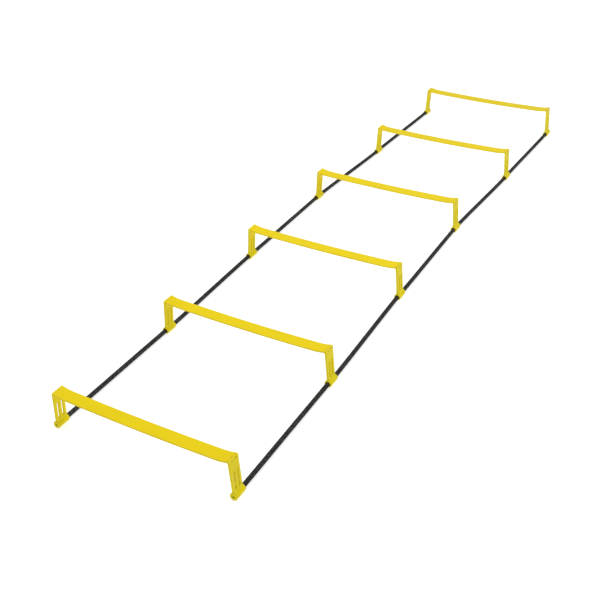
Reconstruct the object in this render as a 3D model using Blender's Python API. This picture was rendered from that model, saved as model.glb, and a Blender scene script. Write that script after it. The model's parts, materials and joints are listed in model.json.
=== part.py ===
"""Agility ladder: six folding hurdles strung on two side cords.

Lengths are in metres, with +Z up and +Y along the ladder, away from the first hurdle.
The origin is on the floor, under the middle of the whole ladder.
Each hurdle is a sagging crossbar with a slotted leg hinged at either end.
Each leg ends in a round foot, and a side cord runs through the six feet of its side.
"""
import math

import bmesh
import bpy
from mathutils import Matrix, Vector

# The whole ladder
HURDLE_COUNT = 6
HURDLE_SPACING = 0.450
HURDLE_SPAN = 0.500
HURDLE_HEIGHT = 0.1083
BOW_OFFSET = 0.015
BOW_SHARES = (0.62, 0.30, -0.58, -1.00, 0.23, 1.00)
SLIP_OFFSET = 0.004
SLIP_SHARES = (0.00, -0.67, -0.12, 1.00, -0.15, 0.00)

# Clearances and helpers for cuts
FIT_GAP = 0.0003
CUT_OVERRUN = 0.003
WELD_DEPTH = 0.0005

# Crossbar
BAR_WIDTH = 0.036
BAR_THICKNESS = 0.0046
BAR_EDGE_RADIUS = 0.0014
END_DROP = 0.0038
END_DROP_RUN = 0.032
MIDDLE_SAG = 0.0046
HEEL_DEPTH = 0.0030
HEEL_RUN = 0.0050

# Leg
LEG_LEAN = math.radians(4.0)
LEG_THICKNESS = 0.0056
LEG_FOOT_WIDTH = 0.0345
LEG_EDGE_CHAMFER = 0.0006
SLOT_WIDTH = 0.0068
SLOT_PITCH = 0.0143
SLOT_HINGE_MARGIN = 0.0310
SLOT_FOOT_MARGIN = 0.0150
FOOT_FILLET_RADIUS = 0.0070

# Foot barrel
BARREL_RADIUS = 0.0096
BARREL_LENGTH = 0.0375
BARREL_CHAMFER = 0.0009
MOUTH_CHAMFER = 0.0007
FLOOR_FLAT_DEPTH = 0.0004
END_WALL = 0.0050

# Hinge pin
PIN_RADIUS = 0.00125
PIN_CHAMFER = 0.0003
PIN_BLIND_WALL = 0.0025
PIN_INSET = 0.0006

# Side cord and the screw that holds each of its ends
CORD_RADIUS = 0.0059
CORD_EASE_SHARE = 0.3
SCREW_HEAD_RADIUS = 0.0024
SCREW_HEAD_HEIGHT = 0.0015
SCREW_HEAD_ROUNDING = 0.0005
SCREW_RECESS_DEPTH = 0.0030
SCREW_SHANK_RADIUS = 0.0013
SCREW_GRIP = 0.0120
SCREW_POINT = 0.0020
SCREW_TIP_RADIUS = 0.0005

# Facet counts
BAR_MIDDLE_STEPS = 2
BAR_BEND_STEPS = 3
BAR_EDGE_STEPS = 2
KNUCKLE_STEPS = 6
FILLET_STEPS = 3
BARREL_SIDES = 16
SLOT_END_STEPS = 4
PIN_SIDES = 8
CORD_SIDES = 8
SPAN_STATIONS = 7

# Places worked out from the sizes above
KNUCKLE_RADIUS = LEG_THICKNESS / 2
HINGE_X = HURDLE_SPAN / 2 - KNUCKLE_RADIUS
HINGE_Z = HURDLE_HEIGHT - KNUCKLE_RADIUS
BARREL_Z = BARREL_RADIUS - FLOOR_FLAT_DEPTH
LEG_LENGTH = (HINGE_Z - BARREL_Z) / math.cos(LEG_LEAN)
FOOT_X = HINGE_X + LEG_LENGTH * math.sin(LEG_LEAN)
BORE_RADIUS = CORD_RADIUS + FIT_GAP
PIN_BORE_RADIUS = PIN_RADIUS + FIT_GAP
TONGUE_WIDTH = SLOT_WIDTH - 2 * FIT_GAP
CORD_END_INSET = END_WALL + FIT_GAP
PIN_FRONT = PIN_BLIND_WALL + FIT_GAP - BAR_WIDTH / 2
PIN_BACK = BAR_WIDTH / 2 - PIN_INSET

SIDES = (("left", -1), ("right", 1))


def clear_scene():
    """Remove whatever the scene already holds."""
    for item in list(bpy.data.objects):
        bpy.data.objects.remove(item, do_unlink=True)


def finish_material(name, colour, roughness, metallic):
    """A Principled material with one colour."""
    made = bpy.data.materials.new(name)
    made.use_nodes = True
    shader = made.node_tree.nodes["Principled BSDF"]
    shader.inputs["Base Color"].default_value = (*colour, 1.0)
    shader.inputs["Roughness"].default_value = roughness
    shader.inputs["Metallic"].default_value = metallic
    return made


def crossbar_material():
    """Yellow moulded plastic of the crossbars."""
    return finish_material("yellow_crossbar_plastic", (0.83, 0.63, 0.012), 0.42, 0.0)


def leg_material():
    """Yellow moulded plastic of the legs."""
    return finish_material("yellow_leg_plastic", (0.80, 0.60, 0.014), 0.45, 0.0)


def pin_material():
    """Plain steel of the hinge pins."""
    return finish_material("hinge_pin_steel", (0.55, 0.55, 0.56), 0.35, 1.0)


def cord_material():
    """Black braid of the side cords."""
    return finish_material("black_braided_cord", (0.035, 0.034, 0.033), 0.80, 0.0)


def screw_material():
    """Blackened steel of the cord screws."""
    return finish_material("cord_screw_steel", (0.10, 0.10, 0.10), 0.40, 1.0)


def mesh_of(shape, name):
    """Turn a bmesh into a mesh with every face pointing out."""
    bmesh.ops.recalc_face_normals(shape, faces=shape.faces)
    mesh = bpy.data.meshes.new(name)
    shape.to_mesh(mesh)
    shape.free()
    return mesh


def skin_over(rings, name):
    """A closed body over rings of equally many points, with a flat face at either end."""
    shape = bmesh.new()
    loops = [[shape.verts.new(point) for point in ring] for ring in rings]
    for near, far in zip(loops, loops[1:]):
        count = len(near)
        for index in range(count):
            after = (index + 1) % count
            shape.faces.new((near[index], near[after], far[after], far[index]))
    shape.faces.new(loops[0])
    shape.faces.new(loops[-1])
    return mesh_of(shape, name)


def round_ring(centre, heading, radius, sides):
    """Points on a circle about centre, square to a level heading."""
    across = Vector((heading.y, -heading.x, 0.0))
    up = Vector((0.0, 0.0, 1.0))
    turns = [2 * math.pi * index / sides for index in range(sides)]
    return [centre + radius * (math.cos(turn) * across + math.sin(turn) * up) for turn in turns]


def turned(profile, sides, name, x=0.0, z=0.0):
    """A body of revolution about a line along Y, from (place along Y, radius) pairs."""
    heading = Vector((0.0, 1.0, 0.0))
    rings = [round_ring(Vector((x, along, z)), heading, radius, sides) for along, radius in profile]
    return skin_over(rings, name)


def prism(outline, low, high, name, along_x=False):
    """An outline extruded along Y, or along X when its points are (y, z) pairs."""
    shape = bmesh.new()
    if along_x:
        points = [Vector((low, first, second)) for first, second in outline]
        travel = Vector((high - low, 0.0, 0.0))
    else:
        points = [Vector((first, low, second)) for first, second in outline]
        travel = Vector((0.0, high - low, 0.0))
    face = shape.faces.new([shape.verts.new(point) for point in points])
    swept = bmesh.ops.extrude_face_region(shape, geom=[face])
    moved = [item for item in swept["geom"] if isinstance(item, bmesh.types.BMVert)]
    bmesh.ops.translate(shape, verts=moved, vec=travel)
    return mesh_of(shape, name)


def block(low, high, name):
    """A box between two corners."""
    outline = [(low.x, low.z), (high.x, low.z), (high.x, high.z), (low.x, high.z)]
    return prism(outline, low.y, high.y, name)


def carved(base, joined, cutters, name):
    """Join bodies to a base, take cutters away, and return the one mesh that is left."""
    holder = bpy.data.objects.new(name, base)
    bpy.context.scene.collection.objects.link(holder)
    tools = []
    steps = [(mesh, "UNION") for mesh in joined] + [(mesh, "DIFFERENCE") for mesh in cutters]
    for mesh, operation in steps:
        tool = bpy.data.objects.new(mesh.name, mesh)
        bpy.context.scene.collection.objects.link(tool)
        tools.append(tool)
        modifier = holder.modifiers.new(mesh.name, "BOOLEAN")
        modifier.operation = operation
        modifier.object = tool
    view = bpy.context.evaluated_depsgraph_get()
    result = bpy.data.meshes.new_from_object(holder.evaluated_get(view), depsgraph=view)
    result.name = name
    for item in tools + [holder]:
        bpy.data.objects.remove(item, do_unlink=True)
    return result


def place(name, mesh, material, location, parent, lean=0.0):
    """Put a mesh in the scene as a named sub-part under its hurdle's empty."""
    if not mesh.materials:
        mesh.materials.append(material)
    mesh.shade_smooth()
    mesh.set_sharp_from_angle(angle=math.radians(32))
    item = bpy.data.objects.new(name, mesh)
    bpy.context.scene.collection.objects.link(item)
    item.parent = parent
    item.location = location
    item.rotation_euler.y = lean
    return item


def bar_drop(x):
    """How far the crossbar hangs below its hinges at a distance x from its middle."""
    run = min(max((HINGE_X - KNUCKLE_RADIUS - abs(x)) / END_DROP_RUN, 0.0), 1.0)
    bend = END_DROP * (1 - (1 - run) ** 2)
    sag = MIDDLE_SAG * (1 - min(abs(x) / HINGE_X, 1.0) ** 2)
    return bend + sag


def bar_section():
    """The crossbar's rounded rectangle as (y, z) pairs about its centre line."""
    half_width = BAR_WIDTH / 2 - BAR_EDGE_RADIUS
    half_height = BAR_THICKNESS / 2 - BAR_EDGE_RADIUS
    corners = ((1, 1), (-1, 1), (-1, -1), (1, -1))
    points = []
    for corner, (side_y, side_z) in enumerate(corners):
        for step in range(BAR_EDGE_STEPS + 1):
            turn = math.pi / 2 * (corner + step / BAR_EDGE_STEPS)
            y = side_y * half_width + BAR_EDGE_RADIUS * math.cos(turn)
            z = side_z * half_height + BAR_EDGE_RADIUS * math.sin(turn)
            points.append((y, z))
    return points


def bar_end_x(z):
    """Where the crossbar's end face stands, a gap away from the leaning leg, at a height z."""
    reach = (KNUCKLE_RADIUS + FIT_GAP) / math.cos(LEG_LEAN)
    return HINGE_X - reach - (z - HINGE_Z) * math.tan(LEG_LEAN)


def bar_plank():
    """The flat sagging plank, with its end faces slanted like the legs beside them."""
    section = bar_section()
    bend = HINGE_X - KNUCKLE_RADIUS - END_DROP_RUN
    last = bar_end_x(HINGE_Z) - HEEL_RUN
    places = [bend * step / BAR_MIDDLE_STEPS for step in range(BAR_MIDDLE_STEPS)]
    places += [bend + (last - bend) * step / BAR_BEND_STEPS for step in range(BAR_BEND_STEPS + 1)]
    rings = []
    for x in [-place for place in places[:0:-1]] + places:
        centre = HINGE_Z - bar_drop(x)
        rings.append([Vector((x, y, centre + z)) for y, z in section])
    tips = {-1: [], 1: []}
    for side in tips:
        centre = HINGE_Z - bar_drop(bar_end_x(HINGE_Z))
        for y, z in section:
            tips[side].append(Vector((side * bar_end_x(centre + z), y, centre + z)))
    return skin_over([tips[-1]] + rings + [tips[1]], "bar_plank")


def bar_heel(side):
    """The wedge under one end of the crossbar that stops its leg from folding inwards."""
    top = HINGE_Z - BAR_THICKNESS / 2 + WELD_DEPTH
    bottom = HINGE_Z - BAR_THICKNESS / 2 - HEEL_DEPTH
    back = bar_end_x(top) - HEEL_RUN
    outline = [(side * bar_end_x(top), top), (side * bar_end_x(bottom), bottom), (side * back, top)]
    half = BAR_WIDTH / 2 - BAR_EDGE_RADIUS
    return prism(outline, -half, half, "bar_heel")


def bar_tongue(side, row):
    """One hinge knuckle of the crossbar, with the web that carries it."""
    root = HINGE_X - bar_end_x(HINGE_Z) + KNUCKLE_RADIUS
    root_height = BAR_THICKNESS / 2 - WELD_DEPTH
    slope = math.atan2(KNUCKLE_RADIUS - root_height, root)
    outline = []
    for step in range(KNUCKLE_STEPS + 1):
        turn = (math.pi / 2 + slope) * (1 - 2 * step / KNUCKLE_STEPS)
        x = HINGE_X + KNUCKLE_RADIUS * math.cos(turn)
        outline.append((side * x, HINGE_Z + KNUCKLE_RADIUS * math.sin(turn)))
    outline.append((side * (HINGE_X - root), HINGE_Z - root_height))
    outline.append((side * (HINGE_X - root), HINGE_Z + root_height))
    middle = row * SLOT_PITCH / 2
    return prism(outline, middle - TONGUE_WIDTH / 2, middle + TONGUE_WIDTH / 2, "bar_tongue")


def crossbar_mesh():
    """A whole crossbar: plank, heels and tongues, with the pin bores cut."""
    joined = []
    cutters = []
    reach = BAR_WIDTH / 2 + CUT_OVERRUN
    for _, side in SIDES:
        joined.append(bar_heel(side))
        joined += [bar_tongue(side, row) for row in (-1, 1)]
        bore = [(-reach, PIN_BORE_RADIUS), (reach, PIN_BORE_RADIUS)]
        cutters.append(turned(bore, PIN_SIDES, "bar_pin_bore", side * HINGE_X, HINGE_Z))
    return carved(bar_plank(), joined, cutters, "crossbar")


def leg_outline():
    """Half a leg's outline as (x, z) pairs, from the top of its hinge to its foot's middle."""
    points = []
    for step in range(KNUCKLE_STEPS // 2 + 1):
        turn = math.pi / 2 * (1 - 2 * step / KNUCKLE_STEPS)
        points.append((KNUCKLE_RADIUS * math.cos(turn), KNUCKLE_RADIUS * math.sin(turn)))
    centre_x = LEG_THICKNESS / 2 + FOOT_FILLET_RADIUS
    reach = BARREL_RADIUS + FOOT_FILLET_RADIUS
    centre_z = math.sqrt(reach ** 2 - centre_x ** 2) - LEG_LENGTH
    last = math.atan2(centre_z + LEG_LENGTH, centre_x)
    for step in range(FILLET_STEPS + 1):
        turn = math.pi + last * step / FILLET_STEPS
        x = centre_x + FOOT_FILLET_RADIUS * math.cos(turn)
        points.append((x, centre_z + FOOT_FILLET_RADIUS * math.sin(turn)))
    points.append((points[-1][0] - WELD_DEPTH, points[-1][1] - WELD_DEPTH))
    points.append((0.0, -LEG_LENGTH))
    return points


def leg_blade():
    """The flat leg, chamfered round its two broad outlines and narrower at the foot."""
    half = leg_outline()
    mirrored = [(-x, z) for x, z in half[1:-1]]
    flat = prism(half + mirrored[::-1], -BAR_WIDTH / 2, BAR_WIDTH / 2, "leg_blade")
    shape = bmesh.new()
    shape.from_mesh(flat)
    rims = [edge for edge in shape.edges if edge.verts[0].co.y == edge.verts[1].co.y]
    bmesh.ops.bevel(shape, geom=rims, offset=LEG_EDGE_CHAMFER, segments=1, affect="EDGES")
    narrowing = 1 - LEG_FOOT_WIDTH / BAR_WIDTH
    for vertex in shape.verts:
        share = min(max(-vertex.co.z / LEG_LENGTH, 0.0), 1.0)
        vertex.co.y *= 1 - narrowing * share
    return mesh_of(shape, "leg_blade")


def leg_slot(row):
    """One of the leg's two long through slots, with round ends."""
    middle = row * SLOT_PITCH / 2
    radius = SLOT_WIDTH / 2
    top = -(SLOT_HINGE_MARGIN + radius)
    bottom = -(LEG_LENGTH - SLOT_FOOT_MARGIN - radius)
    outline = []
    for centre, start in ((top, 0.0), (bottom, math.pi)):
        for step in range(SLOT_END_STEPS + 1):
            turn = start + math.pi * step / SLOT_END_STEPS
            outline.append((middle + radius * math.cos(turn), centre + radius * math.sin(turn)))
    reach = LEG_THICKNESS / 2 + CUT_OVERRUN
    return prism(outline, -reach, reach, "leg_slot", along_x=True)


def leg_notch(row):
    """The gap at the top of the leg that one tongue of the crossbar turns in."""
    middle = row * SLOT_PITCH / 2
    reach = KNUCKLE_RADIUS + CUT_OVERRUN
    low = Vector((-reach, middle - SLOT_WIDTH / 2, -(KNUCKLE_RADIUS + FIT_GAP)))
    high = Vector((reach, middle + SLOT_WIDTH / 2, reach))
    return block(low, high, "leg_notch")


def barrel_body():
    """The round foot, with a chamfer round either end."""
    half = BARREL_LENGTH / 2
    narrow = BARREL_RADIUS - BARREL_CHAMFER
    profile = [(-half, narrow), (BARREL_CHAMFER - half, BARREL_RADIUS)]
    profile += [(half - BARREL_CHAMFER, BARREL_RADIUS), (half, narrow)]
    return turned(profile, BARREL_SIDES, "barrel", 0.0, -LEG_LENGTH)


def open_mouth(half):
    """The cord bore's chamfered mouth at the +Y face, as (place along Y, radius) pairs."""
    wide = BORE_RADIUS + MOUTH_CHAMFER
    return [(half - MOUTH_CHAMFER, BORE_RADIUS), (half, wide), (half + CUT_OVERRUN, wide)]


def barrel_bore(closed_end):
    """The cord bore, through the foot or, at closed_end, stopped by a wall with a screw hole."""
    half = BARREL_LENGTH / 2
    mouth = open_mouth(half)
    if closed_end == 0:
        profile = [(-along, radius) for along, radius in mouth[::-1]] + mouth
    else:
        head_hole = SCREW_HEAD_RADIUS + FIT_GAP
        shank_hole = SCREW_SHANK_RADIUS + FIT_GAP
        profile = [(-half - CUT_OVERRUN, head_hole), (SCREW_RECESS_DEPTH - half, head_hole)]
        profile += [(SCREW_RECESS_DEPTH - half, shank_hole), (END_WALL - half, shank_hole)]
        profile += [(END_WALL - half, BORE_RADIUS)] + mouth
        profile = [(-closed_end * along, radius) for along, radius in profile]
    return turned(profile, BARREL_SIDES, "barrel_bore", 0.0, -LEG_LENGTH)


def floor_cut(side):
    """What is cut from the foot so that it stands on a narrow level flat."""
    reach = BARREL_LENGTH / 2 + CUT_OVERRUN
    low = Vector((-BARREL_RADIUS, -reach, -BARREL_RADIUS - CUT_OVERRUN))
    high = Vector((BARREL_RADIUS, reach, -BARREL_Z))
    cutter = block(low, high, "floor_cut")
    tilt = Matrix.Rotation(side * LEG_LEAN, 4, "Y")
    cutter.transform(Matrix.Translation((0.0, 0.0, -LEG_LENGTH)) @ tilt)
    return cutter


def leg_mesh(side, closed_end):
    """A whole leg hanging from its hinge axis, for one side and one kind of foot."""
    bore_front = PIN_BLIND_WALL - BAR_WIDTH / 2
    bore_back = BAR_WIDTH / 2 + CUT_OVERRUN
    pin_bore = [(bore_front, PIN_BORE_RADIUS), (bore_back, PIN_BORE_RADIUS)]
    cutters = [leg_slot(row) for row in (-1, 1)]
    cutters += [leg_notch(row) for row in (-1, 1)]
    cutters.append(turned(pin_bore, PIN_SIDES, "leg_pin_bore"))
    cutters.append(barrel_bore(closed_end))
    cutters.append(floor_cut(side))
    return carved(leg_blade(), [barrel_body()], cutters, "leg")


def pin_mesh():
    """A hinge pin with chamfered ends, pushed in from behind."""
    narrow = PIN_RADIUS - PIN_CHAMFER
    profile = [(PIN_FRONT, narrow), (PIN_FRONT + PIN_CHAMFER, PIN_RADIUS)]
    profile += [(PIN_BACK - PIN_CHAMFER, PIN_RADIUS), (PIN_BACK, narrow)]
    return turned(profile, PIN_SIDES, "hinge_pin")


def screw_mesh():
    """The screw in a foot's closed end, head at -Y and point inside the cord."""
    seat = SCREW_RECESS_DEPTH - FIT_GAP - BARREL_LENGTH / 2
    tip = CORD_END_INSET + SCREW_GRIP - BARREL_LENGTH / 2
    profile = [(seat - SCREW_HEAD_HEIGHT, SCREW_HEAD_RADIUS - SCREW_HEAD_ROUNDING)]
    profile.append((seat - SCREW_HEAD_HEIGHT + SCREW_HEAD_ROUNDING, SCREW_HEAD_RADIUS))
    profile += [(seat, SCREW_HEAD_RADIUS), (seat, SCREW_SHANK_RADIUS)]
    profile += [(tip - SCREW_POINT, SCREW_SHANK_RADIUS), (tip, SCREW_TIP_RADIUS)]
    return turned(profile, PIN_SIDES, "cord_screw")


def hurdle_places():
    """The middle of each hurdle on the floor, as it lies in a slightly bowed, uneven row."""
    first = -HURDLE_SPACING * (HURDLE_COUNT - 1) / 2
    places = []
    for number, bow, slip in zip(range(HURDLE_COUNT), BOW_SHARES, SLIP_SHARES):
        along = first + HURDLE_SPACING * number + SLIP_OFFSET * slip
        places.append(Vector((BOW_OFFSET * bow, along, 0.0)))
    return places


def cord_route(side):
    """A cord's centre line: straight in each foot, and an even double bend between feet."""
    half = BARREL_LENGTH / 2
    feet = [place + Vector((side * FOOT_X, 0.0, BARREL_Z)) for place in hurdle_places()]
    points = []
    for near, far in zip(feet, feet[1:]):
        start = near.y + half
        finish = far.y - half
        for step in range(SPAN_STATIONS + 1):
            share = step / SPAN_STATIONS
            ease = share * share * (3 - 2 * share)
            sideways = share + CORD_EASE_SHARE * (ease - share)
            x = near.x + (far.x - near.x) * sideways
            points.append(Vector((x, start + (finish - start) * share, BARREL_Z)))
    first = feet[0] + Vector((0.0, CORD_END_INSET - half, 0.0))
    last = feet[-1] + Vector((0.0, half - CORD_END_INSET, 0.0))
    return [first] + points + [last]


def cord_mesh(side):
    """A side cord with a pilot hole for a screw in either end."""
    route = cord_route(side)
    rings = []
    for index, point in enumerate(route):
        before = route[max(index - 1, 0)]
        after = route[min(index + 1, len(route) - 1)]
        rings.append(round_ring(point, (after - before).normalized(), CORD_RADIUS, CORD_SIDES))
    heading = Vector((0.0, 1.0, 0.0))
    pilot_radius = SCREW_SHANK_RADIUS + FIT_GAP
    depth = SCREW_GRIP + FIT_GAP
    front = round_ring(route[0], heading, pilot_radius, CORD_SIDES)
    front_floor = round_ring(route[0] + depth * heading, heading, pilot_radius, CORD_SIDES)
    back = round_ring(route[-1], heading, pilot_radius, CORD_SIDES)
    back_floor = round_ring(route[-1] - depth * heading, heading, pilot_radius, CORD_SIDES)
    return skin_over([front_floor, front] + rings + [back, back_floor], f"side_cord_{side}")


def foot_kind(number):
    """-1 or 1 where a hurdle closes the ladder's front or back end, and 0 between."""
    if number == 1:
        return -1
    if number == HURDLE_COUNT:
        return 1
    return 0


def build_hurdles():
    """Crossbars, legs and hinge pins, each hurdle under its own empty."""
    bar_finish = crossbar_material()
    leg_finish = leg_material()
    pin_finish = pin_material()
    bar = crossbar_mesh()
    pin = pin_mesh()
    legs = {(side, kind): leg_mesh(side, kind) for _, side in SIDES for kind in (-1, 0, 1)}
    for number, spot in enumerate(hurdle_places(), start=1):
        hurdle = bpy.data.objects.new(f"hurdle_{number}", None)
        bpy.context.scene.collection.objects.link(hurdle)
        hurdle.location = spot
        place(f"crossbar_{number}", bar, bar_finish, (0.0, 0.0, 0.0), hurdle)
        for label, side in SIDES:
            axis = (side * HINGE_X, 0.0, HINGE_Z)
            leg = legs[(side, foot_kind(number))]
            place(f"leg_{label}_{number}", leg, leg_finish, axis, hurdle, -side * LEG_LEAN)
            place(f"hinge_pin_{label}_{number}", pin, pin_finish, axis, hurdle)


def build_cords():
    """The two side cords and the screws that hold their ends."""
    cord_finish = cord_material()
    screw_finish = screw_material()
    front_screw = screw_mesh()
    back_screw = front_screw.copy()
    back_screw.transform(Matrix.Rotation(math.pi, 4, "Z"))
    spots = hurdle_places()
    for label, side in SIDES:
        place(f"side_cord_{label}", cord_mesh(side), cord_finish, (0.0, 0.0, 0.0), None)
        foot = Vector((side * FOOT_X, 0.0, BARREL_Z))
        place(f"cord_screw_{label}_front", front_screw, screw_finish, spots[0] + foot, None)
        place(f"cord_screw_{label}_back", back_screw, screw_finish, spots[-1] + foot, None)


clear_scene()
build_hurdles()
build_cords()
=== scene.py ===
# %% [markdown]
# # An agility ladder in cells
#
# The object is a training ladder whose rungs are six low yellow hurdles. Each hurdle is a
# flat crossbar with a slotted leg hinged under either end, and two black braided cords run
# through the twelve round feet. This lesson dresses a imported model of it: every moulded
# piece and both cords are made again as fine surfaces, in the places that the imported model
# gives, and each gets a material worked out from what the real one is made of.
#
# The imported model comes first, because all places are read from it. Its box is kept, so
# that the last cell can compare the finished ladder with it.

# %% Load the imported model
import json
import math

import bmesh
import bpy
import numpy as np
from mathutils import Matrix, Vector


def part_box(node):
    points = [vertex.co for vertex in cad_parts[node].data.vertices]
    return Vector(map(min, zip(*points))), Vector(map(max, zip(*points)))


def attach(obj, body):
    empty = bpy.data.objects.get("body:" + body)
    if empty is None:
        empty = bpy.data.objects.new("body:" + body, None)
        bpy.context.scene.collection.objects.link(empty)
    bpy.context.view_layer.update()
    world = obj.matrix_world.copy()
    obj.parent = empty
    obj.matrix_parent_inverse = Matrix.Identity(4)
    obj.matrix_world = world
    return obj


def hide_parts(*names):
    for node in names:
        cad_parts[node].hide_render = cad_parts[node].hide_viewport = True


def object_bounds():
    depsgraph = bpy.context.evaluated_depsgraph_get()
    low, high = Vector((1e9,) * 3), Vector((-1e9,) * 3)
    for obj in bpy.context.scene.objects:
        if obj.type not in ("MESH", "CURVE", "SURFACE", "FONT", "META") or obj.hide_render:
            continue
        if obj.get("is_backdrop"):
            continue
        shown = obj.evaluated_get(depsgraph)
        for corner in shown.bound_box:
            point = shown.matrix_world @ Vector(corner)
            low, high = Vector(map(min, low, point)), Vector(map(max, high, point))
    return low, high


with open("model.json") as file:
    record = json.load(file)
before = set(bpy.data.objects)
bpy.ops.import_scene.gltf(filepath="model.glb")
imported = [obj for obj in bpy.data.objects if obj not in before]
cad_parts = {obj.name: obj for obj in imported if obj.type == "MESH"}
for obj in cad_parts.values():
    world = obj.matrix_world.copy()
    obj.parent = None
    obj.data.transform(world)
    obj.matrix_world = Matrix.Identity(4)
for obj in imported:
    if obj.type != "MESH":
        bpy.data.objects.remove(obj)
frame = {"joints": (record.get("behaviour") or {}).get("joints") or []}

packed_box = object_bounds()

# %% [markdown]
# ## Camera
#
# The photographer stood at the near right corner of the ladder, at about shoulder height,
# and looked down its length. A camera is placed by where it stands and by three turns: pan
# to the left, tilt down, and a small roll. A matrix for each turn keeps that order plain,
# which Euler angles would hide. One small function puts the camera, and later every other
# object, into the scene.

# %% Camera at the photograph's viewing angle
CAMERA_PLACE = (1.1321, -2.3307, 1.4654)
CAMERA_PAN = math.radians(30.33)
CAMERA_TILT = math.radians(32.93)
CAMERA_ROLL = math.radians(-1.42)
LENS_MM = 55.58
SENSOR_MM = 36.0


def new_object(name, data):
    """An object that shows a camera, a lamp or a mesh, linked into the scene."""
    made = bpy.data.objects.new(name, data)
    bpy.context.scene.collection.objects.link(made)
    return made


lens = bpy.data.cameras.new("camera")
lens.lens = LENS_MM
lens.sensor_width = SENSOR_MM
camera = new_object("camera", lens)
pan = Matrix.Rotation(CAMERA_PAN, 4, "Z")
tilt = Matrix.Rotation(math.pi / 2 - CAMERA_TILT, 4, "X")
roll = Matrix.Rotation(CAMERA_ROLL, 4, "Z")
camera.matrix_world = Matrix.Translation(CAMERA_PLACE) @ pan @ tilt @ roll
bpy.context.scene.camera = camera
print("camera stands", round(camera.location.length, 2), "m from the ladder's middle")

# %% [markdown]
# ## Colours and nodes
#
# Colours are picked from pictures as sRGB hex values, but light adds up in linear values,
# so one function turns the first into the second. The others join nodes, add one with its
# values and links, and begin a material. A Mix node has inputs of several kinds under the
# same names, so its colours are picked by number.

# %% Helpers for materials
MM = 0.001
COLOUR_A, COLOUR_B, BLEND = 6, 7, 2


def linear(code):
    """An sRGB hex colour as linear red, green, blue and an alpha of 1.

    Each channel c is c / 12.92 below 0.04045, and ((c + 0.055) / 1.055) to the 2.4 above.
    """
    srgb = np.array([int(code[place:place + 2], 16) for place in (1, 3, 5)]) / 255
    low, high = srgb / 12.92, ((srgb + 0.055) / 1.055) ** 2.4
    return (*np.where(srgb <= 0.04045, low, high).tolist(), 1.0)


def two_tints(first, second):
    """The settings of a Mix node that blends two hex colours."""
    return {"data_type": "RGBA", COLOUR_A: linear(first), COLOUR_B: linear(second)}


def join(node, **links):
    """Join outputs to a node's inputs by name, or by number, as i6, where names repeat."""
    for key, source in links.items():
        place = int(key[1:]) if key[0] == "i" and key[1:].isdigit() else key.replace("_", " ")
        node.id_data.links.new(source, node.inputs[place])


def add_node(tree, kind, settings=None, **links):
    """Add a node, set its properties and unlinked inputs, and join its other inputs."""
    node = tree.nodes.new("ShaderNode" + kind)
    for key, value in (settings or {}).items():
        if isinstance(key, int) or key in node.inputs:
            node.inputs[key].default_value = value
        else:
            setattr(node, key, value)
    join(node, **links)
    return node


def new_material(name, roughness, metallic=0.0, **values):
    """A material, its tree, its shader with uniform values, and its Object coordinates."""
    made = bpy.data.materials.new(name)
    made.use_nodes = True
    tree = made.node_tree
    shader = tree.nodes["Principled BSDF"]
    for key, value in {"Roughness": roughness, "Metallic": metallic, **values}.items():
        shader.inputs[key.replace("_", " ")].default_value = value
    return made, tree, shader, add_node(tree, "TexCoord").outputs["Object"]


print("yellow in linear values:", [round(value, 3) for value in linear("#EBD41C")[:3]])

# %% [markdown]
# ## Moulded yellow plastic
#
# Crossbars and legs are injection-moulded polypropylene, coloured right through. The mould
# was lightly spark-eroded, which leaves a fine grain and a soft half gloss. Five things
# are seen on such a surface: a grain, drawn at 0.8 mm, coarser than the real one, so that it
# shows at all, slow waves where thick plastic sank while it cooled, faint clouds where the
# pigment flowed, long dull rubs where hurdles slide on each other in their bag, and rims
# that have gone a little pale and matt. The paleness of the rims is wear, and also a painted
# highlight along the edges. Noise on Object coordinates gives the first four, and as every
# hurdle lies elsewhere in those coordinates, no two look alike. The meshes carry an attribute
# for the rims, and noise breaks their wear and painted highlight up so that it isn't a drawn
# line.

# %% Colour of the plastic
FLOW_SIZE = 60 * MM
SCUFF_SIZE = 4 * MM
CLOUD_SHARE = {"From Min": 0.35, "From Max": 0.65}
SCUFF_SHARE = {"From Min": 0.42, "From Max": 0.62, "To Max": 0.55}


def plastic_colour(tree, place, colour, cloud_colour, rim_wear_and_highlight_colour):
    """Clouds of a second tint, a pale third one on worn rims that is also painted highlight, and the wear as
    a number.
    """
    flow = add_node(tree, "TexNoise", {"Scale": 1 / FLOW_SIZE, "Detail": 3.0}, Vector=place)
    share = add_node(tree, "MapRange", CLOUD_SHARE, Value=flow.outputs["Fac"])
    tint = add_node(tree, "Mix", two_tints(colour, cloud_colour), Factor=share.outputs["Result"])
    rim_face = add_node(tree, "Attribute", {"attribute_name": "rim"})
    scuff = add_node(tree, "TexNoise", {"Scale": 1 / SCUFF_SIZE, "Detail": 4.0}, Vector=place)
    patch = add_node(tree, "MapRange", SCUFF_SHARE, Value=scuff.outputs["Fac"])
    worn = add_node(
        tree, "Math", {"operation": "MULTIPLY"}, i0=rim_face.outputs["Fac"], i1=patch.outputs["Result"])
    # Rims turn paler: wear, and also a painted highlight along the edges.
    skin_tint = add_node(
        tree, "Mix", {"data_type": "RGBA", COLOUR_B: linear(rim_wear_and_highlight_colour)}, Factor=worn.outputs[0],
        i6=tint.outputs[BLEND])
    return skin_tint.outputs[BLEND], worn.outputs[0]


print("clouds of", round(FLOW_SIZE / MM), "mm and scuffs of", round(SCUFF_SIZE / MM), "mm")

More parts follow.
